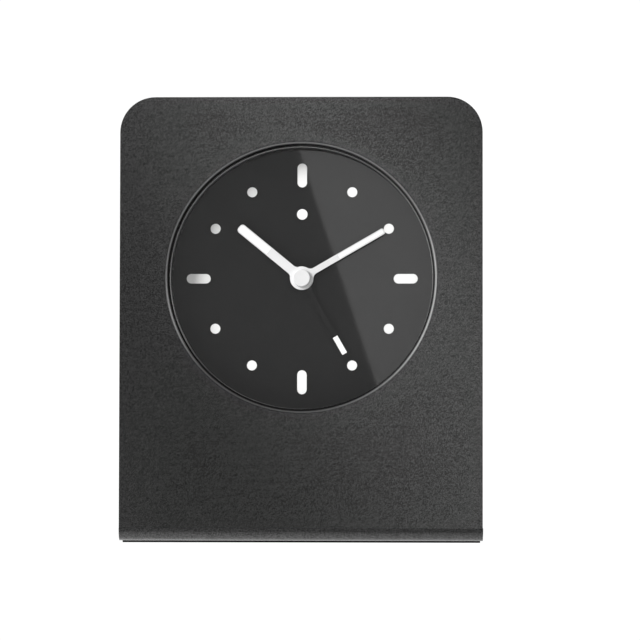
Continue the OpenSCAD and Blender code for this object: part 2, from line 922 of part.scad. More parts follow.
module dial_lamps() {
    color("ivory") dial_frame()
        at_places(lamp_places)
            rotate_extrude()
                polygon([
                    [0, lamp_proud - ledge_rear],
                    [lamp_r - lamp_edge, lamp_proud - ledge_rear],
                    [lamp_r, lamp_proud - lamp_edge - ledge_rear],
                    [lamp_r, -plate_rear],
                    [lamp_flange_r, -plate_rear],
                    [lamp_flange_r, -plate_rear - lamp_flange_t],
                    [0, -plate_rear - lamp_flange_t]
                ]);
}

// Electronics

module circuit_board() {
    color("#1f5c3a") dial_frame()
        slab(board_front, board_rear)
            difference() {
                union() {
                    translate([-board_half_w, board_low]) square([2 * board_half_w, board_high - board_low]);
                    translate([snooze_x - board_tab_w / 2, board_low])
                        square([board_tab_w, snooze_switch_top - board_low]);
                }
                at_places(board_pillars) circle(neck_r + fit_clear);
            }
}

module control_chip() {
    color("#18181a") dial_frame()
        slab(board_rear, board_rear + chip_t) translate(chip_place) round_rect(chip_w, chip_w, chip_corner);
}

module quartz_crystal() {
    color("silver") dial_frame()
        translate(crystal_place) along_x(board_rear + crystal_r + run_clear)
            cylinder(h = crystal_l, r = crystal_r, center = true);
}

module stator() {
    color("#a8a8ac") dial_frame()
        slab(rotor_level, rotor_level + stator_t)
            translate([rotor_x, rotor_v])
                difference() {
                    union() {
                        circle(rotor_r + air_gap + stator_web);
                        square([2 * arm_x + arm_w, arm_w], center = true);
                        for (x = [-1, 1])
                            translate([x * arm_x - arm_w / 2, -arm_w / 2]) square([arm_w, post_rise + arm_w]);
                    }
                    circle(rotor_r + air_gap);
                }
}

module drive_coil() {
    color("#b5652a") dial_frame()
        translate([rotor_x, rotor_v + coil_rise, 0]) {
            slab(rotor_level - core_t, rotor_level) square([2 * arm_x + arm_w, core_w], center = true);
            along_x(coil_depth) {
                cylinder(h = coil_l, r = coil_r, center = true);
                for (z = [-1, 1])
                    translate([0, 0, z * (coil_l + bobbin_t) / 2])
                        cylinder(h = bobbin_t, r = coil_r + bobbin_rim, center = true);
            }
        }
}

module snooze_switch() {
    color("#18181a") dial_frame()
        difference() {
            slab(snooze_depth - snooze_switch_w / 2, board_front)
                translate([snooze_x - snooze_switch_w / 2, snooze_switch_top - snooze_switch_h])
                    square([snooze_switch_w, snooze_switch_h]);
            translate([snooze_x, snooze_stem_end - snooze_travel - slide_clear, -snooze_depth])
                rotate([-90, 0, 0]) cylinder(h = snooze_switch_h, r = snooze_stem_r + slide_clear);
        }
}

module buzzer() {
    color("#2a2a2a") dial_frame()
        translate([0, buzzer_rise, 0])
            difference() {
                slab(cover_front - buzzer_h, cover_front) circle(buzzer_r);
                slab(cover_front - buzzer_h / 2, cover_front + cut) circle(buzzer_r - buzzer_wall);
            }
}

// Going train

module rotor() {
    color("#55575a") dial_frame()
        translate([rotor_x, rotor_v, 0]) {
            slab(ledge_rear + run_clear, bridge_rear) circle(pivot_r);
            slab(third_level, third_level + wheel_t)
                wheel(rotor_pinion_teeth, rotor_module, pinion_addendum, 180 + rotor_rise, meshed = true);
            slab(rotor_level, rotor_level + rotor_t) circle(rotor_r);
        }
}

module third_wheel() {
    color("#e8e4d8") dial_frame()
        translate([0, third_reach, 0]) {
            slab(ledge_rear + run_clear, bridge_rear) circle(pivot_r);
            slab(centre_level, third_level)
                wheel(third_pinion_teeth, centre_module, pinion_addendum, -90, meshed = true);
            slab(third_level, third_level + wheel_t)
                windowed(third_teeth, rotor_module, rotor_rise, false, third_hub_r);
        }
}

module minute_arbor() {
    color("#e8e4d8") dial_frame() {
        slab(minute_front, bridge_rear) circle(minute_arbor_r);
        slab(minute_level, centre_level)
            wheel(cannon_teeth, motion_module, pinion_addendum, 180 - setting_rise);
        slab(centre_level, centre_level + wheel_t)
            windowed(centre_teeth, centre_module, 90, false, centre_hub_r);
    }
}

module minute_wheel() {
    color("#e8e4d8") dial_frame()
        translate([-setting_x, setting_v, 0]) {
            slab(ledge_rear + run_clear, knob_seat) circle(setting_arbor_r);
            slab(hour_level, minute_level)
                wheel(setting_pinion_teeth, setting_module, pinion_addendum, -setting_rise);
            slab(minute_level, minute_level + wheel_t)
                windowed(minute_teeth, motion_module, -setting_rise, true, minute_hub_r);
        }
}

module hour_wheel() {
    color("#e8e4d8") dial_frame() {
        slab(hour_front, hour_level) ring(hour_tube_r, hour_tube_in);
        slab(hour_level, hour_level + wheel_t)
            difference() {
                windowed(hour_teeth, setting_module, 180 - setting_rise, true, hour_hub_r);
                circle(hour_tube_in);
            }
    }
}

module alarm_wheel() {
    color("#e8e4d8") dial_frame() {
        slab(alarm_front, alarm_level) ring(alarm_tube_r, alarm_tube_in);
        slab(alarm_level, alarm_level + wheel_t)
            difference() {
                windowed(hour_teeth, setting_module, setting_rise, true, hour_hub_r);
                circle(alarm_tube_in);
            }
    }
}

module alarm_arbor() {
    color("#e8e4d8") dial_frame()
        translate([setting_x, setting_v, 0]) {
            slab(ledge_rear + run_clear, knob_seat) circle(setting_arbor_r);
            slab(alarm_level, alarm_level + wheel_t)
                wheel(setting_pinion_teeth, setting_module, pinion_addendum, 180 + setting_rise);
        }
}

// Hands

// Points round the corners of a hand's tip, from its right side to its left
function tip_points(w, l, r) =
    let (turns = [for (i = [0 : arc_steps]) 90 * i / arc_steps])
    concat(
        [for (a = turns) [w / 2 - r, l - r] + polar(r, a)],
        [for (a = turns) [r - w / 2, l - r] + polar(r, a + 90)]
    );

// Points along the hollow fillet from the hub disc to the right side of a hand
function root_points(w) =
    let (
        centre = [w / 2 + fillet_r, sqrt(pow(hub_r + fillet_r, 2) - pow(w / 2 + fillet_r, 2))],
        span = atan2(centre[1], centre[0])
    )
    [for (i = [arc_steps - 1 : -1 : 0]) centre + polar(fillet_r, 180 + span * i / arc_steps)];

// Bar towards twelve with a rounded tip
module hand_bar(w, from, to, r) {
    polygon(concat([[-w / 2, from], [w / 2, from]], tip_points(w, to, r)));
}

module hand_outline(w, l, tip_r, bore_r) {
    root = root_points(w);
    difference() {
        union() {
            circle(hub_r);
            polygon(concat(
                [[0, 0]],
                root,
                tip_points(w, l, tip_r),
                [for (i = [len(root) - 1 : -1 : 0]) [-root[i][0], root[i][1]]]
            ));
        }
        circle(bore_r + fit_clear);
    }
}

// Hand with a pocket for its inlay, in the frame of the dial
module hand(front, angle, w, l, bore_r) {
    rotate(-angle)
        difference() {
            slab(front, front + hand_t) hand_outline(w, l, tip_share * w, bore_r);
            slab(front - cut, front + inlay_t) inlay_outline(w, l, fit_clear);
        }
}

module inlay_outline(w, l, clear) {
    inner_w = w - 2 * inlay_rim + 2 * clear;
    hand_bar(inner_w, inlay_start - clear, l - inlay_rim + clear, tip_share * inner_w);
}

module inlay(front, angle, w, l) {
    rotate(-angle) slab(front, front + inlay_t) inlay_outline(w, l, 0);
}

module minute_hand() {
    color("white") dial_frame()
        hand(minute_front, minute_angle, minute_w, minute_l, minute_arbor_r);
}

module minute_lume() {
    color("#f4f6ee") dial_frame()
        inlay(minute_front, minute_angle, minute_w, minute_l);
}

module hand_cap() {
    color("white") dial_frame()
        rotate_extrude()
            polygon([
                [0, -minute_front],
                [cap_r, -minute_front],
                [cap_r, cap_t - cap_edge - minute_front],
                [cap_r - cap_edge, cap_t - minute_front],
                [0, cap_t - minute_front]
            ]);
}

module hour_hand() {
    color("white") dial_frame()
        hand(hour_front, hour_angle, hour_w, hour_l, hour_tube_r);
}

module hour_lume() {
    color("#f4f6ee") dial_frame()
        inlay(hour_front, hour_angle, hour_w, hour_l);
}

// Black hand with a step at its end, where the white bar lies
module alarm_hand() {
    color("#161616") dial_frame() rotate(-alarm_angle)
        difference() {
            slab(alarm_front, alarm_front + alarm_hand_t)
                hand_outline(alarm_w, alarm_l, alarm_tip_r, alarm_tube_r);
            slab(alarm_front - cut, alarm_front + inlay_t)
                translate([-alarm_w, alarm_l - alarm_tip_l - fit_clear]) square([2 * alarm_w, 2 * alarm_tip_l]);
        }
}

module alarm_tip() {
    color("white") dial_frame() rotate(-alarm_angle)
        slab(alarm_front, alarm_front + inlay_t)
            hand_bar(alarm_w, alarm_l - alarm_tip_l, alarm_l, alarm_tip_r);
}

// Controls

module knob(at) {
    translate([at[0], at[1], 0])
        difference() {
            rotate_extrude()
                polygon([
                    [0, -knob_front],
                    [knob_r, -knob_front],
                    [knob_r, knob_edge - knob_front - knob_h],
                    [knob_r - knob_edge, -knob_front - knob_h],
                    [knob_r - knob_edge - knob_land, -knob_front - knob_h],
                    [0, knob_dish - knob_front - knob_h]
                ]);
            slab(knob_front - cut, knob_front + knob_h + cut)
                around([for (i = [0 : knob_flutes - 1]) 360 * i / knob_flutes], knob_r + flute_r / 2)
                    circle(flute_r);
            slab(knob_front - cut, knob_seat + run_clear) circle(setting_arbor_r + fit_clear);
        }
}

module time_knob() {
    color("#1b1b1c") dial_frame() knob(setting_places[0]);
}

module alarm_knob() {
    color("#1b1b1c") dial_frame() knob(setting_places[1]);
}

module alarm_switch() {
    color("#d8d8d8") dial_frame()
        translate([0, switch_rise - slider_travel / 2, 0]) {
            difference() {
                slab(cover_front - slide_clear, cover_rear + slider_h) rotate(90) pill(slider_l, slider_w);
                slab(cover_rear + slider_h - slider_groove_t, cover_rear + slider_h + cut)
                    for (i = [-1 : 1])
                        translate([0, i * slider_groove_pitch])
                            square([slider_w + cut, slider_groove_w], center = true);
            }
            slab(cover_front - slide_clear - shoe_t, cover_front - slide_clear)
                square([slider_w + 2 * shoe_margin, slider_l + 2 * shoe_margin], center = true);
        }
}

module alarm_switch_body() {
    channel_w = slider_w + 2 * shoe_margin + 2 * slide_clear;
    channel_l = slider_l + 2 * shoe_margin + slider_travel + 2 * slide_clear;
    channel_t = shoe_t + 2 * slide_clear;
    color("#18181a") dial_frame()
        translate([0, switch_rise, 0])
            difference() {
                slab(cover_front - channel_t - switch_floor, cover_front)
                    square([channel_w + 2 * switch_wall, channel_l + 2 * switch_wall], center = true);
                slab(cover_front - channel_t, cover_front + cut)
                    square([channel_w, channel_l], center = true);
            }
}

module snooze_button() {
    flange_low = snooze_flange_top - snooze_flange_t;
    color("#1b1b1c") dial_frame() {
        intersection() {
            snooze_shaft(0, flange_low, drum_r + snooze_h);
            slab(0, cover_rear) circle(drum_r + snooze_h);
        }
        translate([0, flange_low, -snooze_depth]) rotate([-90, 0, 0])
            linear_extrude(snooze_flange_t)
                pill(snooze_l + 2 * snooze_margin, snooze_w + 2 * snooze_margin);
        translate([snooze_x, snooze_stem_end, -snooze_depth]) rotate([-90, 0, 0])
            cylinder(h = flange_low - snooze_stem_end, r = snooze_stem_r);
    }
}
folded_body();
foot_pad();
plate_studs();
housing_nuts();
lens();
dial_ring();
dial();
light_guide();
drum_housing();
rear_cover();
rear_cover_screws();
battery_door();
battery_cell();
battery_contact_plus();
battery_contact_minus();
movement_plate();
movement_screws();
movement_pillars();
movement_bridge();
dial_lamps();
circuit_board();
control_chip();
quartz_crystal();
stator();
drive_coil();
rotor();
third_wheel();
minute_arbor();
minute_hand();
minute_lume();
hand_cap();
minute_wheel();
time_knob();
hour_wheel();
hour_hand();
hour_lume();
alarm_wheel();
alarm_hand();
alarm_tip();
alarm_arbor();
alarm_knob();
alarm_switch();
alarm_switch_body();
snooze_button();
snooze_switch();
buzzer();
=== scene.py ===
"""Looks of the alarm clock: materials, edge rounding, camera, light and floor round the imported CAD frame."""
import json
import math

import bpy
from mathutils import Matrix, Vector


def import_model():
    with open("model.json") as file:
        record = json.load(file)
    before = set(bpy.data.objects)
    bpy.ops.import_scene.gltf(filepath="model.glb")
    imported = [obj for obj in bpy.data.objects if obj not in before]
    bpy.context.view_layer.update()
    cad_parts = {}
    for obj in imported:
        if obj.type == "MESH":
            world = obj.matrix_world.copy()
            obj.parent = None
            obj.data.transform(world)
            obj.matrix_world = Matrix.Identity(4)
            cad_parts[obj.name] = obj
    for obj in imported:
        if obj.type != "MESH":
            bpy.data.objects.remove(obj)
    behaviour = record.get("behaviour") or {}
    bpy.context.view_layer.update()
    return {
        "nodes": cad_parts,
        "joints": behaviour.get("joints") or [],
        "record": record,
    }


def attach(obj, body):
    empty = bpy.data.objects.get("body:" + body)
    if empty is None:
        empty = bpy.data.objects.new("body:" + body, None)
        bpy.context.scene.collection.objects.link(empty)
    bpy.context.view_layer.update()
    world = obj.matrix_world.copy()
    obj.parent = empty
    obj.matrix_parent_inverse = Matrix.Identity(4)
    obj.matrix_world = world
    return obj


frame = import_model()
nodes = frame["nodes"]
joints = {joint["name"]: joint for joint in frame["joints"]}
scene = bpy.context.scene

MM = 0.001
ORIGIN = Vector((0, 0, 0))
ACROSS = Vector((1, 0, 0))
BACK = Vector((0, 1, 0))

# The dial's frame, from the axis of the hands, which points back into the clock
DIAL = Vector(joints["minute_hand_turn"]["pos_m"])
OUT_FACE = -Vector(joints["minute_hand_turn"]["axis"])
UP_FACE = Vector((0, OUT_FACE.z, -OUT_FACE.y))

# Round lines about the dial's axis: radius, and half of the width over which they fade
BARE_CUT = (31.60 * MM, 0.32 * MM)
RING_LIP = (30.92 * MM, 0.22 * MM)
# Radii between which the lens goes over from clear to its ground rim
LENS_RIM = (30.86 * MM, 30.89 * MM)
LENS_IOR = 1.49

# Slow unevenness of the sheet, up to three degrees at a corner: bow across, twist, bow up the face, per metre
BOW_ACROSS, TWIST, BOW_UP = -0.331, -0.705, 0.127
# Direction back and up from the bend at the foot, and the stretch along it over which the bend ends
FROM_BEND = Vector((0, 0.7, 0.7))
BEND_END = (-15.0 * MM, -12.5 * MM)


def on_face(x, y, depth):
    """Point in the frame, from millimetres to the right, up the face and behind it."""
    return DIAL + (x * ACROSS + y * UP_FACE - depth * OUT_FACE) * MM


def axis_on_face(joint):
    """Millimetres to the right and up the face to a joint's axis."""
    offset = (Vector(joints[joint]["pos_m"]) - DIAL) / MM
    return offset.x, offset.dot(UP_FACE)


# Node helpers


class Shader:
    """A material's node tree with one Principled surface. An input takes an output or a constant."""

    def __init__(self, name, **values):
        self.material = bpy.data.materials.new(name)
        self.material.use_nodes = True
        self.tree = self.material.node_tree
        self.surface = self.tree.nodes["Principled BSDF"]
        self.set(**values)

    def set(self, **values):
        """Sets inputs of the surface, with _ for each space in a name."""
        for name, value in values.items():
            self.feed(self.surface.inputs[name.replace("_", " ")], value)

    def feed(self, socket, value):
        """Links an output to an input, or sets the input to a constant."""
        if isinstance(value, bpy.types.NodeSocket):
            self.tree.links.new(value, socket)
        else:
            socket.default_value = value

    def show(self, shader):
        """Takes a shader as what the material shows."""
        self.feed(self.tree.nodes["Material Output"].inputs["Surface"], shader.outputs[0])

    def add(self, kind, **values):
        """New node with some of its properties."""
        node = self.tree.nodes.new("ShaderNode" + kind)
        for key, value in values.items():
            setattr(node, key, value)
        return node

    def number(self, kind, *values):
        """Operation on numbers."""
        node = self.add("Math", operation=kind)
        for socket, value in zip(node.inputs, values):
            self.feed(socket, value)
        return node.outputs[0]

    def vector(self, kind, *values):
        """Operation on vectors."""
        node = self.add("VectorMath", operation=kind)
        for socket, value in zip(node.inputs, values):
            self.feed(socket, value)
        return node.outputs["Value" if kind in ("DOT_PRODUCT", "LENGTH") else "Vector"]

    def place(self, origin=ORIGIN):
        """Place in the object's own space, in metres from an origin."""
        return self.vector("SUBTRACT", self.add("TexCoord").outputs["Object"], origin)

    def from_axis(self):
        """Distance from the dial's axis, in metres."""
        return self.vector("LENGTH", self.vector("CROSS_PRODUCT", self.place(DIAL), OUT_FACE))

    def noise(self, size, detail=2.0, stretch=(1, 1, 1)):
        """Noise whose grains are about size millimetres across."""
        texture = self.add("TexNoise")
        self.feed(texture.inputs["Vector"], self.vector("MULTIPLY", self.place(), stretch))
        self.feed(texture.inputs["Scale"], 1 / MM / size)
        self.feed(texture.inputs["Detail"], detail)
        return texture.outputs["Fac"]

    def grains(self, size):
        """Random tone in each of many cells about size millimetres across."""
        texture = self.add("TexVoronoi")
        self.feed(texture.inputs["Vector"], self.place())
        self.feed(texture.inputs["Scale"], 1 / MM / size)
        return texture.outputs["Color"]

    def ramp(self, fac, low, high, start=0.3, end=0.7):
        """Colour between two tones by a factor."""
        ramp = self.add("ValToRGB")
        for stop, position, tone in zip(ramp.color_ramp.elements, (start, end), (low, high)):
            stop.position = position
            stop.color = (*tone, 1)
        self.feed(ramp.inputs["Fac"], fac)
        return ramp.outputs["Color"]

    def spread(self, fac, low, high, start=0.3, end=0.7):
        """Number between two values by a factor."""
        spread = self.add("MapRange")
        inputs = {"Value": fac, "From Min": start, "From Max": end, "To Min": low, "To Max": high}
        for name, value in inputs.items():
            self.feed(spread.inputs[name], value)
        return spread.outputs["Result"]

    def peak(self, value, centre, half):
        """One at a value, falling off softly to nothing at half the width on both sides."""
        off = self.number("ABSOLUTE", self.number("SUBTRACT", value, centre))
        fall = self.spread(off, 1, 0, 0, half)
        fall.node.interpolation_type = "SMOOTHSTEP"
        return fall

    def bump(self, height, depth, strength=1.0, under=None):
        """Bump of a depth in millimetres, on top of another one."""
        bump = self.add("Bump")
        self.feed(bump.inputs["Strength"], strength)
        self.feed(bump.inputs["Distance"], depth * MM)
        self.feed(bump.inputs["Height"], height)
        if under:
            self.feed(bump.inputs["Normal"], under)
        return bump.outputs["Normal"]

    def unevenness(self):
        """Height of the sheet's slow bows and twist, in metres."""
        place = self.place(DIAL)
        flat = self.add("CombineXYZ")
        self.feed(flat.inputs["X"], self.vector("DOT_PRODUCT", place, ACROSS))
        self.feed(flat.inputs["Y"], self.vector("DOT_PRODUCT", place, UP_FACE))
        bent = self.add("CombineXYZ")
        self.feed(bent.inputs["X"], self.vector("DOT_PRODUCT", flat.outputs[0], (BOW_ACROSS, TWIST, 0)))
        self.feed(bent.inputs["Y"], self.vector("DOT_PRODUCT", flat.outputs[0], (0, BOW_UP, 0)))
        return self.vector("DOT_PRODUCT", flat.outputs[0], bent.outputs[0])

    def cut_edge(self):
        """One on the base and the cut edges, nothing on the two sides of the face and round the bend."""
        normal = self.add("NewGeometry").outputs["Normal"]
        facing = self.number("ABSOLUTE", self.vector("DOT_PRODUCT", normal, OUT_FACE))
        turned_away = self.spread(facing, 1, 0, 0.5, 0.9)
        past_bend = self.spread(self.vector("DOT_PRODUCT", self.place(), FROM_BEND), 0, 1, *BEND_END)
        return self.number("MULTIPLY", turned_away, past_bend)

    def blend(self, fac, first, second):
        """Mix of two colours by a factor."""
        mix = self.add("Mix", data_type="RGBA")
        for name, value in {"Factor": fac, "A": first, "B": second}.items():
            self.feed(mix.inputs[name], value)
        return mix.outputs["Result"]

    def mix(self, fac, first, second):
        """Mix of two shaders by a factor."""
        mix = self.add("MixShader")
        for socket, value in zip(mix.inputs, (fac, first.outputs[0], second.outputs[0])):
            self.feed(socket, value)
        return mix


# Materials


def grey(value):
    """Tone with as much red as green and blue."""
    return (value, value, value)


def grained(name, low, high, rough, grain, depth, patch=6.0, swing=0.06, **values):
    """Moulded or painted surface: patches of slow change in tone, fine grain in roughness and bump."""
    s = Shader(name, **values)
    fine = s.noise(grain, 3)
    s.set(
        Base_Color=s.ramp(s.noise(patch, 3), low, high),
        Roughness=s.spread(fine, rough - swing, rough + swing),
        Normal=s.bump(fine, depth),
    )
    return s.material


def turned(name, low, high, rough):
    """Bright metal with fine lines and a little change of tone."""
    s = Shader(name, Metallic=1.0)
    lines = s.noise(0.5, 2, (1, 1, 8))
    s.set(
        Base_Color=s.ramp(s.noise(2.5, 2), low, high),
        Roughness=s.spread(lines, rough - 0.05, rough + 0.08),
        Normal=s.bump(lines, 0.004, 0.6),
    )
    return s.material


def blasted(name, low, high, rough):
    """Sand-blasted, dyed sheet: grains and pits, a bare cut round the opening, duller edges."""
    bare_low, bare_high, bare_rough = grey(0.32), grey(0.39), rough + 0.15
    edge_rough = rough + 0.28
    s = Shader(name, Metallic=1.0)
    pits = s.noise(0.24, 1)
    dust = s.noise(0.11, 1)
    dyed = s.ramp(s.grains(0.19), low, high, 0.2, 0.8)
    bare = s.peak(s.from_axis(), *BARE_CUT)
    on_cut = s.spread(bare, rough, bare_rough, 0, 1)
    on_edge = s.spread(s.cut_edge(), rough, edge_rough, 0, 1)
    # The unevenness is a height in metres, so its bump is one metre deep
    sheet = s.bump(s.unevenness(), 1 / MM)
    s.set(
        Base_Color=s.blend(bare, dyed, s.ramp(dust, bare_low, bare_high)),
        Roughness=s.number("MAXIMUM", on_cut, on_edge),
        Normal=s.bump(pits, 0.012, 0.35, s.bump(dust, 0.005, 0.3, sheet)),
    )
    return s.material


def ring(name):
    """Black spacer ring with a satin lip next to the dial's window."""
    s = Shader(name)
    fine = s.noise(0.2, 2)
    lip = s.peak(s.from_axis(), *RING_LIP)
    black = s.ramp(fine, grey(0.004), grey(0.006))
    satin = s.ramp(fine, grey(0.40), grey(0.50))
    s.set(
        Base_Color=s.blend(lip, black, satin),
        Metallic=lip,
        Roughness=s.spread(fine, 0.32, 0.44),
        Normal=s.bump(fine, 0.003),
    )
    return s.material


def clear(name):
    """Clear sheet with a dark ground rim that mirrors by its angle. The lacquer behind shows the window."""
    s = Shader(name)
    s.tree.nodes.remove(s.surface)
    through = s.add("BsdfTransparent")
    s.feed(through.inputs["Color"], (*grey(0.985), 1))
    ground = s.add("BsdfDiffuse")
    s.feed(ground.inputs["Color"], s.ramp(s.noise(0.3, 2), grey(0.003), grey(0.005)))
    mirror = s.add("BsdfGlossy")
    s.feed(mirror.inputs["Color"], (*grey(1), 1))
    s.feed(mirror.inputs["Roughness"], s.spread(s.noise(9, 2), 0.018, 0.026))
    fresnel = s.add("Fresnel")
    inside = s.add("NewGeometry").outputs["Backfacing"]
    s.feed(fresnel.inputs["IOR"], s.spread(inside, LENS_IOR, 1 / LENS_IOR, 0, 1))
    rim = s.mix(fresnel.outputs[0], ground, mirror)
    rim_share = s.spread(s.from_axis(), 0, 0.9, *LENS_RIM)
    s.show(s.mix(rim_share, through, rim))
    return s.material


# Clear coat over the dial and the alarm hand, and the dark and light tone and the roughness under it
LACQUER = {"Specular_IOR_Level": 0.12, "Coat_Weight": 1.0, "Coat_Roughness": 0.02, "Coat_IOR": 1.72}
UNDER_LACQUER = (grey(0.036), grey(0.040), 0.7)

# Moulded and painted surfaces: dark and light tone, roughness, size and depth of the grain in millimetres
GRAINED = {
    "dial_white": ((0.88, 0.88, 0.87), (0.93, 0.93, 0.92), 0.6, 0.3, 0.004),
    "hand_white": (grey(0.655), grey(0.695), 0.42, 0.25, 0.003),
    "lume_white": (grey(0.86), grey(0.92), 0.75, 0.2, 0.008),
    "housing_black": (grey(0.020), grey(0.027), 0.55, 0.35, 0.02),
    "control_black": (grey(0.017), grey(0.023), 0.48, 0.3, 0.012),
    "control_white": (grey(0.62), grey(0.70), 0.5, 0.3, 0.008),
    "cell_wrap": ((0.20, 0.21, 0.22), (0.25, 0.26, 0.27), 0.3, 0.6, 0.004),
    "movement_plastic": ((0.58, 0.58, 0.55), (0.66, 0.66, 0.63), 0.5, 0.4, 0.01),
    "wheel_plastic": ((0.72, 0.68, 0.58), (0.80, 0.77, 0.68), 0.45, 0.3, 0.006),
    "board_green": ((0.010, 0.075, 0.032), (0.016, 0.105, 0.046), 0.35, 0.5, 0.01),
    "chip_black": (grey(0.012), grey(0.018), 0.6, 0.2, 0.01),
    "magnet_grey": (grey(0.09), grey(0.13), 0.5, 0.2, 0.012),
    "lamp_clear": ((0.78, 0.78, 0.72), (0.86, 0.86, 0.80), 0.25, 0.5, 0.003),
}
# Bright metals: dark and light tone, roughness
TURNED = {
    "fastener_steel": (grey(0.52), grey(0.62), 0.28),
    "contact_metal": ((0.62, 0.58, 0.50), (0.70, 0.67, 0.60), 0.25),
    "can_metal": (grey(0.58), grey(0.68), 0.22),
    "coil_copper": ((0.52, 0.20, 0.07), (0.66, 0.28, 0.11), 0.3),
}
MATERIALS = {
    "body_metal": blasted("body_metal", grey(0.030), grey(0.086), 0.27),
    "pad_rubber": grained("pad_rubber", grey(0.004), grey(0.007), 0.8, 0.4, 0.02, Specular_IOR_Level=0.05),
    "lens_clear": clear("lens_clear"),
    "ring_black": ring("ring_black"),
    "dial_black": grained("dial_black", *UNDER_LACQUER, 0.4, 0.0, patch=14, **LACQUER),
    "hand_black": grained("hand_black", *UNDER_LACQUER, 0.25, 0.0, **LACQUER),
}
MATERIALS |= {name: grained(name, *values) for name, values in GRAINED.items()}
MATERIALS |= {name: turned(name, *values) for name, values in TURNED.items()}

# Nodes that look unlike the rest of their slot
OWN = {"dial_ring": "ring_black", "alarm_tip": "lume_white"}
SLOT_OF = {part["node"]: part["material_slot"] for part in frame["record"]["subparts"]}
for name, node in nodes.items():
    node.data.materials.clear()
    node.data.materials.append(MATERIALS[OWN.get(name, SLOT_OF[name])])

# Rounded edges: width in millimetres
EDGES = {
    "folded_body": 0.25, "foot_pad": 0.15, "drum_housing": 0.3, "rear_cover": 0.15, "battery_door": 0.2,
    "time_knob": 0.15, "alarm_knob": 0.15, "snooze_button": 0.6, "alarm_switch": 0.12, "housing_nuts": 0.2,
    "plate_studs": 0.15, "rear_cover_screws": 0.08, "hour_hand": 0.05, "minute_hand": 0.05, "hand_cap": 0.08,
    "alarm_hand": 0.05, "battery_cell": 0.3,
}
WELD_GAP = 0.002 * MM
SHARP_FROM = math.radians(50)
CREASE_FROM = math.radians(40)
for name, width in EDGES.items():
    modifiers = nodes[name].modifiers
    modifiers.new("weld", "WELD").merge_threshold = WELD_GAP
    bevel = modifiers.new("edges", "BEVEL")
    bevel.width = width * MM
    bevel.segments = 3
    bevel.limit_method = "ANGLE"
    bevel.angle_limit = SHARP_FROM
    modifiers.new("creases", "EDGE_SPLIT").split_angle = CREASE_FROM
    modifiers.new("flats", "WEIGHTED_NORMAL")

# Small forms that the solids leave out


def add_piece(name, data, body, slot):
    """Puts a piece in the scene, on a body and in a slot."""
    made = bpy.data.objects.new(name, data)
    made.data.materials.append(MATERIALS[slot])
    scene.collection.objects.link(made)
    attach(made, body)


def fillet_outline(width, hub, radius, lap, steps=8):
    """Right-hand hollow rounding between a hub and a hand that points up, let into both by a lap."""
    reach = math.sqrt((hub + radius) ** 2 - (width / 2 + radius) ** 2)
    centre = Vector((width / 2 + radius, reach))
    at_hub = math.atan2(-centre.y, -centre.x)
    at_hand = -math.pi
    angles = [at_hub + (at_hand - at_hub) * i / steps for i in range(steps + 1)]
    hollow = [centre + radius * Vector((math.cos(a), math.sin(a))) for a in angles]
    in_hand = Vector((width / 2 - lap, reach))
    in_root = Vector((width / 2 - lap, 0.9 * (hub - lap)))
    in_hub = hollow[0] * (1 - lap / hub)
    return [*hollow, in_hand, in_root, in_hub]


def root_fillets(name, body, width, turn, front, hub=2.75, radius=1.5, thick=0.49, lap=0.1):
    """The two hollow roundings where a hand leaves its hub, in millimetres and degrees clockwise."""
    cos, sin = math.cos(math.radians(turn)), math.sin(math.radians(turn))
    verts, faces = [], []
    right = fillet_outline(width, hub, radius, lap)
    # The left outline is mirrored and reversed, so both run the same way round
    for side in (1, -1):
        outline = [(side * point.x, point.y) for point in right[::side]]
        start, count = len(verts), len(outline)
        for depth in (front, front + thick):
            verts += [on_face(x * cos + y * sin, y * cos - x * sin, depth) for x, y in outline]
        fore = [start + i for i in range(count)]
        rear = [i + count for i in fore]
        faces += [fore, rear[::-1]]
        faces += [[fore[i - 1], rear[i - 1], rear[i], fore[i]] for i in range(count)]
    mesh = bpy.data.meshes.new(name)
    mesh.from_pydata(verts, [], faces)
    add_piece(name, mesh, body, "hand_white")


root_fillets("hour_hand_fillets", "hour_work", width=2.2, turn=309.4, front=5.153)
root_fillets("minute_hand_fillets", "minute_work", width=1.45, turn=60, front=4.253)


def arc(x, y, across, up, start, end, count=20):
    """Points on an ellipse between two angles in degrees."""
    angles = [math.radians(start + (end - start) * i / count) for i in range(count + 1)]
    return [(x + across * math.cos(a), y + up * math.sin(a)) for a in angles]


def turn_arrow(radius):
    """Arrow over a knob, clockwise as seen from behind."""
    line = arc(0, 0, radius, radius, 138, 46)
    x, y = line[-1]
    return [line, [(x - 0.35, y + 1.15), (x, y), (x - 1.15, y + 0.05)]]


# Lines of each sign about its own middle, in millimetres
SIGNS = {
    "arrow": turn_arrow(7.7),
    "clock": [arc(0, 0, 1.6, 1.6, 0, 360), [(0, 1.05), (0, 0), (0.75, 0)]],
    "bell": [
        [(-1.5, -1), (-1.1, -0.5), *arc(0, 0.3, 1, 1.1, 180, 0, 12), (1.1, -0.5), (1.5, -1), (-1.5, -1)],
        arc(0, -1.15, 0.45, 0.4, 180, 360, 8),
    ],
    "O": [arc(0, 0, 0.55, 0.8, 0, 360)],
    "N": [[(-0.5, -0.8), (-0.5, 0.8), (0.5, -0.8), (0.5, 0.8)]],
    "F": [[(0.5, 0.8), (-0.4, 0.8), (-0.4, -0.8)], [(-0.4, 0), (0.35, 0)]],
}


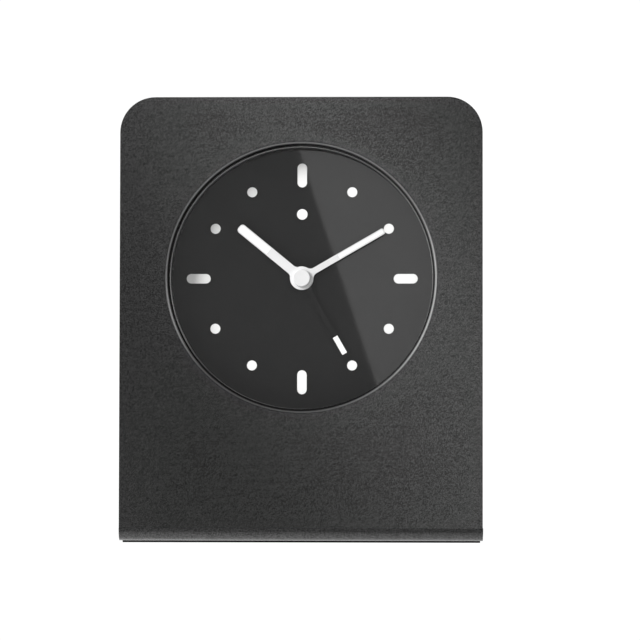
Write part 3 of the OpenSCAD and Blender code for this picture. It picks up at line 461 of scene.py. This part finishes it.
def rear_signs(depth, radius, above_knob=10.8, on_y=12.9, off_y=-2.7):
    """Raised signs on the back, in millimetres to the right and up as seen from behind."""
    time_x, time_y = axis_on_face("time_knob_turn")
    alarm_x, alarm_y = axis_on_face("alarm_knob_turn")
    places = [
        ("arrow", -time_x, time_y), ("arrow", -alarm_x, alarm_y),
        ("clock", -time_x, time_y + above_knob), ("bell", -alarm_x, alarm_y + above_knob),
        ("O", -0.85, on_y), ("N", 0.85, on_y),
        ("O", -1.5, off_y), ("F", 0.05, off_y), ("F", 1.4, off_y),
    ]
    data = bpy.data.curves.new("rear_signs", "CURVE")
    data.dimensions = "3D"
    data.bevel_depth = radius * MM
    data.bevel_resolution = 2
    data.use_fill_caps = True
    for sign, x, y in places:
        for line in SIGNS[sign]:
            spline = data.splines.new("POLY")
            spline.points.add(len(line) - 1)
            for point, (right, up) in zip(spline.points, line):
                point.co = (*on_face(-x - right, y + up, depth), 1)
    add_piece("rear_signs", data, "stand", "control_white")


rear_signs(depth=36.2, radius=0.14)

# Camera


def camera():
    """Long lens a little to the right of the clock and above it."""
    data = bpy.data.cameras.new("photo_camera")
    data.sensor_width = 36
    data.lens = 227.475
    data.clip_start, data.clip_end = 0.05, 20
    place = Vector((0.0368008, -0.9642204, 0.106874))
    target = Vector((0.0044511, -0.020, 0.0520711))
    roll = math.radians(-0.1078)
    ahead = (target - place).normalized()
    right = ahead.cross(Vector((0, 0, 1))).normalized()
    up = right.cross(ahead)
    tilted_right = right * math.cos(roll) + up * math.sin(roll)
    tilted_up = up * math.cos(roll) - right * math.sin(roll)
    made = bpy.data.objects.new("photo_camera", data)
    made.matrix_world = Matrix((tilted_right, tilted_up, -ahead)).transposed().to_4x4()
    made.location = place
    scene.collection.objects.link(made)
    scene.camera = made


camera()

# Light and stage

# What the camera sees as plain white, and the light that the room gives from all sides
SEEN_WHITE = 1.05
ROOM_LIGHT = 0.264
HEART = Vector((0, -0.02, 0.06))


def receivers(name, state):
    """Collection that lets a light reach the lens and the lacquered pieces alone, or all but these."""
    made = bpy.data.collections.new(name)
    for i, node in enumerate(("lens", "dial", "alarm_hand")):
        made.objects.link(nodes[node])
        made.collection_objects[i].light_linking.link_state = state
    return made


LENS_ALONE = receivers("lens_alone", "INCLUDE")
NOT_LENS = receivers("not_lens", "EXCLUDE")


def softbox(name, place, ahead, size, radiance, roll=0.0, reach=NOT_LENS):
    """Rectangular light that looks ahead, turned about its own axis by roll degrees."""
    data = bpy.data.lights.new(name, "AREA")
    data.shape = "RECTANGLE"
    data.size, data.size_y = size
    data.energy = radiance * math.pi * size[0] * size[1]
    made = bpy.data.objects.new(name, data)
    aim = ahead.to_track_quat("-Z", "Y").to_matrix()
    made.matrix_world = (aim @ Matrix.Rotation(math.radians(roll), 3, "Z")).to_4x4()
    made.location = place
    made.visible_camera = False
    made.light_linking.receiver_collection = reach
    scene.collection.objects.link(made)


def aimed(name, place, size, radiance):
    """Softbox that looks at the middle of the clock."""
    softbox(name, place, HEART - Vector(place), size, radiance)


aimed("key_left", (-0.76, -0.55, 0.55), (0.42, 0.42), 29.6)
aimed("low_card", (-0.42, -0.145, 0.065), (0.25, 0.12), 2.3)
aimed("right_card", (0.45, -0.05, 0.22), (0.25, 0.25), 1.6)
softbox("plate_card", (-0.079, -0.8, 0.472), BACK, (0.187, 0.738), 1.9, roll=23.3)
softbox("corner_card", (-0.36, -0.8, 0.06), BACK, (0.2, 0.3), 0.7)
softbox("lens_card", (0.2482, -1.5, 0.4053), BACK, (0.6, 1.0), 0.64, roll=18.2, reach=LENS_ALONE)


def world():
    """White backdrop for the camera, and a dimmer even light on everything else."""
    made = bpy.data.worlds.new("studio")
    scene.world = made
    made.use_nodes = True
    tree = made.node_tree
    back = tree.nodes["Background"]
    back.inputs["Color"].default_value = (*grey(1), 1)
    path = tree.nodes.new("ShaderNodeLightPath")
    strength = tree.nodes.new("ShaderNodeMapRange")
    strength.inputs["To Min"].default_value = ROOM_LIGHT
    strength.inputs["To Max"].default_value = SEEN_WHITE
    tree.links.new(path.outputs["Is Camera Ray"], strength.inputs["Value"])
    tree.links.new(strength.outputs["Result"], back.inputs["Strength"])


world()


def floor():
    """Ground that the camera sees as plain white. Its glow on the clock fades away from the foot's front."""
    side, near, far, sunk = 3.0, -0.32, 6.0, 0.02 * MM
    foot_front = Vector((0, -24 * MM, 0))
    glow_at_foot, glow_away, fade = 1.48, 0.14, 7.6 * MM
    # Painted shade: the floor is darker in front of the foot than under and behind the clock, standing in for
    # less light on the floor there
    front_shade_tone, back_tones, pale_from = grey(0.42), (grey(0.62), grey(0.64)), 50 * MM
    mesh = bpy.data.meshes.new("floor")
    mesh.from_pydata([(-side, near, 0), (side, near, 0), (side, far, 0), (-side, far, 0)], [], [(0, 1, 2, 3)])
    made = bpy.data.objects.new("floor", mesh)
    made.location.z = -sunk
    scene.collection.objects.link(made)
    s = Shader("floor_white", Roughness=0.8, Emission_Color=(*grey(1), 1))
    behind = s.vector("DOT_PRODUCT", s.place(foot_front), BACK)
    pale = s.ramp(s.noise(400, 2), *back_tones)
    s.set(
        Base_Color=s.blend(s.spread(behind, 0, 1, 0, pale_from), (*front_shade_tone, 1), pale),
        Emission_Strength=s.spread(s.number("ABSOLUTE", behind), glow_at_foot, glow_away, 0, fade),
    )
    white = s.add("Emission")
    s.feed(white.inputs["Strength"], SEEN_WHITE)
    s.show(s.mix(s.add("LightPath").outputs["Is Camera Ray"], s.surface, white))
    mesh.materials.append(s.material)


floor()

scene.view_settings.view_transform = "Standard"
